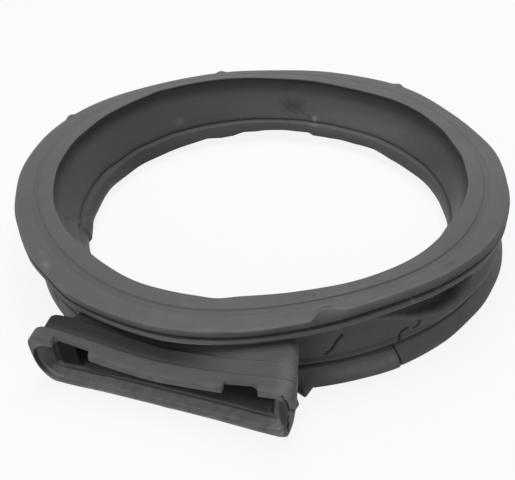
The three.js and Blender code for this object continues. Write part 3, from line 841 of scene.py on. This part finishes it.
def duct_mesh():
    """The duct as one closed grid, its corners rounded loop by loop."""
    stations = duct_stations()
    loops, steps = [], []
    n = len(stations)
    for i, (loop, radius, pieces) in enumerate(stations):
        before, after = stations[i - 1][0], stations[(i + 1) % n][0]
        if radius:
            back = np.linalg.norm(before - loop, axis=1, keepdims=True)
            ahead = np.linalg.norm(after - loop, axis=1, keepdims=True)
            start = loop + (before - loop) * np.minimum(radius / np.maximum(back, 1e-6), 0.45)
            end = loop + (after - loop) * np.minimum(radius / np.maximum(ahead, 1e-6), 0.45)
            for t in np.linspace(0, 1, 5):
                loops.append((1 - t) ** 2 * start + 2 * t * (1 - t) * loop + t * t * end)
                steps.append(i)
        else:
            end = loop
            loops.append(loop)
            steps.append(i)
        next_loop, next_radius, _ = stations[(i + 1) % n]
        gap = np.linalg.norm(next_loop - loop, axis=1, keepdims=True)
        stop = next_loop - (next_loop - loop) * np.minimum(next_radius / np.maximum(gap, 1e-6), 0.45)
        for k in range(1, pieces):
            loops.append(end + (stop - end) * k / pieces)
            steps.append(i)
    grid, deep = duct_shape(np.array(loops))
    steps = np.broadcast_to(np.array(steps)[:, None], grid.shape[:2])
    marks = duct_marks(grid, steps, deep)
    flow = np.stack([grid[..., 0] / 30, grid[..., 1] * 0.9, grid[..., 2] * 0.9], -1)
    return in_frame(grid[..., 0], -grid[..., 1], grid[..., 2]), marks, flow


def passage_mesh():
    """A solid a little wider than the duct's way through, for cutting the ring's walls."""
    stations = duct_stations()
    front, back = stations[-2][0], stations[-1][0]
    inner = back.copy()
    inner[:, 1] = PASSAGE_END_OUT
    wider = np.array([1.003, 1.0, 1.012])
    ends = [loop.mean(0) + (loop - loop.mean(0)) * wider for loop in (inner, front)]
    n = len(front)
    places = np.concatenate([ends[0], ends[1], [ends[0].mean(0)], [ends[1].mean(0)]])
    faces = []
    for j in range(n):
        k = (j + 1) % n
        faces.append((j, k, n + k))
        faces.append((j, n + k, n + j))
        faces.append((2 * n, k, j))
        faces.append((2 * n + 1, n + j, n + k))
    return in_frame(places[:, 0], -places[:, 1], places[:, 2]), faces


def cut_away(target, cutter):
    """Subtracts a solid from an object for good, and removes the cutter."""
    step = target.modifiers.new("cut", "BOOLEAN")
    step.operation = "DIFFERENCE"
    step.solver = "MANIFOLD"
    step.object = cutter
    evaluated = target.evaluated_get(bpy.context.evaluated_depsgraph_get())
    mesh = bpy.data.meshes.new_from_object(evaluated)
    target.modifiers.clear()
    target.data = mesh
    bpy.data.objects.remove(cutter)


def mesh_object(name, places, faces):
    """An object with smooth shading from places in metres and faces."""
    mesh = bpy.data.meshes.new(name)
    mesh.from_pydata([tuple(p) for p in places], [], [tuple(f) for f in faces])
    mesh.validate()
    made = bpy.data.objects.new(name, mesh)
    bpy.context.collection.objects.link(made)
    for polygon in mesh.polygons:
        polygon.use_smooth = True
    return made


def grid_object(name, places):
    """An object from a grid of places that closes on itself both ways."""
    rows, columns = places.shape[:2]
    i, j = np.meshgrid(np.arange(rows), np.arange(columns), indexing="ij")
    i2, j2 = (i + 1) % rows, (j + 1) % columns
    faces = np.stack([i * columns + j, i * columns + j2, i2 * columns + j2, i2 * columns + j], -1)
    return mesh_object(name, places.reshape(-1, 3), faces.reshape(-1, 4))


def carry_marks(piece, places, marks, flow):
    """Stores marks and flow on the piece's points, each taken from the nearest place."""
    places, marks, flow = places.reshape(-1, 3), marks.reshape(-1, 4), flow.reshape(-1, 3)
    tree = KDTree(len(places))
    for i, place in enumerate(places):
        tree.insert(place, i)
    tree.balance()
    nearest = [tree.find(vertex.co)[1] for vertex in piece.data.vertices]
    for name, kind, key, values in (
        ("marks", "FLOAT_COLOR", "color", marks), ("flow", "FLOAT_VECTOR", "vector", flow),
    ):
        layer = piece.data.attributes.new(name=name, type=kind, domain="POINT")
        layer.data.foreach_set(key, values[nearest].astype(np.float32).ravel())


def look_at_seal():
    """Places the photograph's camera."""
    camera_data = bpy.data.cameras.new("camera")
    camera = bpy.data.objects.new("camera", camera_data)
    bpy.context.collection.objects.link(camera)
    forward = Vector(CAMERA_FORWARD).normalized()
    up = Vector(CAMERA_UP)
    right = forward.cross(up).normalized()
    up = right.cross(forward)
    turn = Matrix((right, up, -forward)).transposed().to_4x4()
    x, y, z = CAMERA_PLACE
    place = Vector(((x + AXIS_X) * MM, (y + AXIS_Y) * MM, z * MM))
    camera.matrix_world = Matrix.Translation(place) @ turn
    camera_data.lens = CAMERA_LENS
    camera_data.sensor_width = 36
    bpy.context.scene.camera = camera


def seen(tree):
    """A socket that is 1 for rays from the camera, mirror rays and rays through glass."""
    path = tree.nodes.new("ShaderNodeLightPath")
    total = path.outputs["Is Camera Ray"]
    for name in ("Is Glossy Ray", "Is Transmission Ray"):
        most = tree.nodes.new("ShaderNodeMath")
        most.operation = "MAXIMUM"
        tree.links.new(total, most.inputs[0])
        tree.links.new(path.outputs[name], most.inputs[1])
        total = most.outputs[0]
    return total


def show_to_camera(tree, lit, shown, end):
    """Gives one shader to the light and another to what the camera sees."""
    blend = tree.nodes.new("ShaderNodeMixShader")
    tree.links.new(seen(tree), blend.inputs[0])
    tree.links.new(lit.outputs[0], blend.inputs[1])
    tree.links.new(shown.outputs[0], blend.inputs[2])
    tree.links.new(blend.outputs[0], end.inputs["Surface"])


def paint_floor(material):
    """A grey floor for the light, which the camera sees as nearly white with the seal's shadow."""
    material.use_nodes = True
    tree = material.node_tree
    shader = tree.nodes["Principled BSDF"]
    shader.inputs["Base Color"].default_value = (*[FLOOR_SHADE] * 3, 1)
    shader.inputs["Roughness"].default_value = 0.95
    shader.inputs["Specular IOR Level"].default_value = 0.0
    paper = tree.nodes.new("ShaderNodeBsdfDiffuse")
    paper.inputs["Color"].default_value = (1, 1, 1, 1)
    white = tree.nodes.new("ShaderNodeEmission")
    white.inputs["Color"].default_value = (1, 1, 1, 1)
    white.inputs["Strength"].default_value = 1.0
    shown = tree.nodes.new("ShaderNodeMixShader")
    shown.inputs[0].default_value = FLOOR_WHITE
    tree.links.new(paper.outputs[0], shown.inputs[1])
    tree.links.new(white.outputs[0], shown.inputs[2])
    show_to_camera(tree, shader, shown, tree.nodes["Material Output"])


def lay_floor():
    mesh = bpy.data.meshes.new("floor")
    side = FLOOR_HALF_SIDE
    corners = [(-side, -side, 0), (side, -side, 0), (side, side, 0), (-side, side, 0)]
    mesh.from_pydata(corners, [], [(0, 1, 2, 3)])
    floor = bpy.data.objects.new("floor", mesh)
    floor.location.z = -0.0002
    bpy.context.collection.objects.link(floor)
    material = bpy.data.materials.new("floor")
    paint_floor(material)
    mesh.materials.append(material)


def light_room():
    """An even, weak room that the camera sees as white, and the lamps, which face the origin."""
    world = bpy.data.worlds.new("studio")
    bpy.context.scene.world = world
    world.use_nodes = True
    tree = world.node_tree
    room = tree.nodes["Background"]
    room.inputs["Color"].default_value = (1, 1, 1, 1)
    room.inputs["Strength"].default_value = WORLD_STRENGTH
    backdrop = tree.nodes.new("ShaderNodeBackground")
    backdrop.inputs["Color"].default_value = (1, 1, 1, 1)
    backdrop.inputs["Strength"].default_value = 1.0
    show_to_camera(tree, room, backdrop, tree.nodes["World Output"])
    for name, place, size, watts in LAMPS:
        light = bpy.data.lights.new(name, "AREA")
        light.size = size
        light.energy = watts
        lamp = bpy.data.objects.new(name, light)
        lamp.location = place
        lamp.rotation_euler = (-Vector(place)).to_track_quat("-Z", "Y").to_euler()
        bpy.context.collection.objects.link(lamp)


class Nodes:
    """Small helpers for wiring a material."""

    def __init__(self, tree):
        self.tree = tree

    def put(self, socket, value):
        if isinstance(value, bpy.types.NodeSocket):
            self.tree.links.new(value, socket)
        else:
            socket.default_value = value

    def noise(self, place, scale, detail, roughness=0.5):
        node = self.tree.nodes.new("ShaderNodeTexNoise")
        self.put(node.inputs["Vector"], place)
        node.inputs["Scale"].default_value = scale
        node.inputs["Detail"].default_value = detail
        node.inputs["Roughness"].default_value = roughness
        return node.outputs["Fac"]

    def span(self, value, low, high, out_low=0.0, out_high=1.0):
        node = self.tree.nodes.new("ShaderNodeMapRange")
        self.put(node.inputs["Value"], value)
        for key, number in zip(("From Min", "From Max", "To Min", "To Max"), (low, high, out_low, out_high)):
            node.inputs[key].default_value = number
        return node.outputs["Result"]

    def math(self, kind, a, b):
        node = self.tree.nodes.new("ShaderNodeMath")
        node.operation = kind
        node.use_clamp = kind == "ADD"
        self.put(node.inputs[0], a)
        self.put(node.inputs[1], b)
        return node.outputs[0]

    def mix(self, share, a, b):
        node = self.tree.nodes.new("ShaderNodeMix")
        node.data_type = "RGBA"
        self.put(node.inputs["Factor"], share)
        colours = [socket for socket in node.inputs if socket.type == "RGBA"]
        self.put(colours[0], a)
        self.put(colours[1], b)
        return next(socket for socket in node.outputs if socket.type == "RGBA")


def rubber_material():
    """Used dark rubber: cloudy and finely mottled, with brown dirt, pale wear and painted light, and black
    grime, cracks and painted shade.
    """
    material = bpy.data.materials.new("rubber")
    material.use_nodes = True
    tree = material.node_tree
    nodes = Nodes(tree)
    shader = tree.nodes["Principled BSDF"]
    place = tree.nodes.new("ShaderNodeTexCoord").outputs["Object"]
    marks = tree.nodes.new("ShaderNodeAttribute")
    marks.attribute_name = "marks"
    split = tree.nodes.new("ShaderNodeSeparateColor")
    tree.links.new(marks.outputs["Color"], split.inputs[0])
    wear_and_light, dirt, grime_and_shade = split.outputs[0], split.outputs[1], split.outputs[2]
    crack_and_shade = marks.outputs["Alpha"]
    along = tree.nodes.new("ShaderNodeAttribute")
    along.attribute_name = "flow"

    clouds = nodes.span(nodes.noise(place, 16, 4, 0.6), 0.35, 0.65)
    mottle = nodes.span(nodes.noise(place, 170, 5, 0.65), 0.32, 0.68)
    grain = nodes.noise(place, 1500, 3, 0.7)
    streaks = nodes.span(nodes.noise(along.outputs["Vector"], 1.0, 4, 0.6), 0.35, 0.65)

    colour = nodes.mix(clouds, (*RUBBER_DARK, 1), (*RUBBER, 1))
    colour = nodes.mix(nodes.math("MULTIPLY", mottle, 0.28), colour, (*RUBBER_PALE, 1))
    colour = nodes.mix(nodes.math("MULTIPLY", streaks, 0.22), colour, (*RUBBER_PALE, 1))
    spread = nodes.span(nodes.noise(place, 45, 5, 0.7), 0.38, 0.62, 0.0, 0.34)
    stain = nodes.math("ADD", nodes.math("MULTIPLY", dirt, nodes.span(mottle, 0, 1, 0.45, 1.0)), spread)
    colour = nodes.mix(stain, colour, (*STAIN, 1))
    # Painted shade and grime in black.
    colour = nodes.mix(nodes.math("MULTIPLY", grime_and_shade, 0.85), colour, (*BLACK_FOR_GRIME_SHADE_AND_CRACKS, 1))
    # Pale wear and painted light.
    scuff_and_light = nodes.math("MULTIPLY", wear_and_light, nodes.span(mottle, 0, 1, 0.5, 1.0))
    colour = nodes.mix(scuff_and_light, colour, (*PALE_FOR_SCUFFS_AND_LIGHT, 1))
    # Black cracks and tears, and painted shade behind the duct's left notch.
    colour = nodes.mix(nodes.math("MULTIPLY", crack_and_shade, 0.92), colour, (*BLACK_FOR_GRIME_SHADE_AND_CRACKS, 1))
    tree.links.new(colour, shader.inputs["Base Color"])

    rough = nodes.span(mottle, 0, 1, 0.47, 0.6)
    rough = nodes.math("ADD", rough, nodes.math("MULTIPLY", stain, 0.14))
    tree.links.new(rough, shader.inputs["Roughness"])
    # Less shine where shade, grime and cracks are painted.
    shade_grime_and_cracks = nodes.math("MAXIMUM", grime_and_shade, crack_and_shade)
    tree.links.new(nodes.span(shade_grime_and_cracks, 0, 1, 0.4, 0.06), shader.inputs["Specular IOR Level"])

    bump_node = tree.nodes.new("ShaderNodeBump")
    bump_node.inputs["Strength"].default_value = 0.35
    bump_node.inputs["Distance"].default_value = 0.0004
    uneven = nodes.math("MULTIPLY", mottle, 0.5)
    uneven = nodes.math("ADD", uneven, nodes.math("MULTIPLY", grain, 0.35))
    uneven = nodes.math("ADD", uneven, nodes.math("MULTIPLY", streaks, 0.15))
    tree.links.new(uneven, bump_node.inputs["Height"])
    tree.links.new(bump_node.outputs["Normal"], shader.inputs["Normal"])
    return material


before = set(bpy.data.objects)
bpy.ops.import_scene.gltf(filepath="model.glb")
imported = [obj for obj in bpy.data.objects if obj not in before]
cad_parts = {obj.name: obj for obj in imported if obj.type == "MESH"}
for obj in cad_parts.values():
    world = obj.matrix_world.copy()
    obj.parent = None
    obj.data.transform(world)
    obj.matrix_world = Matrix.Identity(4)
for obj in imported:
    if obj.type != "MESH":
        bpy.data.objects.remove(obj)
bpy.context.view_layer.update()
bpy.context.scene.view_settings.view_transform = "Standard"
look_at_seal()
lay_floor()
light_room()
rubber = rubber_material()

ring_grid = ring_mesh()
ring = grid_object("ring", ring_grid[0])
cut_away(ring, mesh_object("passage", *passage_mesh()))
carry_marks(ring, *ring_grid)
duct_grid = duct_mesh()
duct = grid_object("duct", duct_grid[0])
carry_marks(duct, *duct_grid)
for piece in (ring, duct):
    piece.data.materials.clear()
    piece.data.materials.append(rubber)
    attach(piece, "root")
    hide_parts("door_seal")
    piece.data.calc_loop_triangles()
    print(piece.name, "triangles", len(piece.data.loop_triangles))
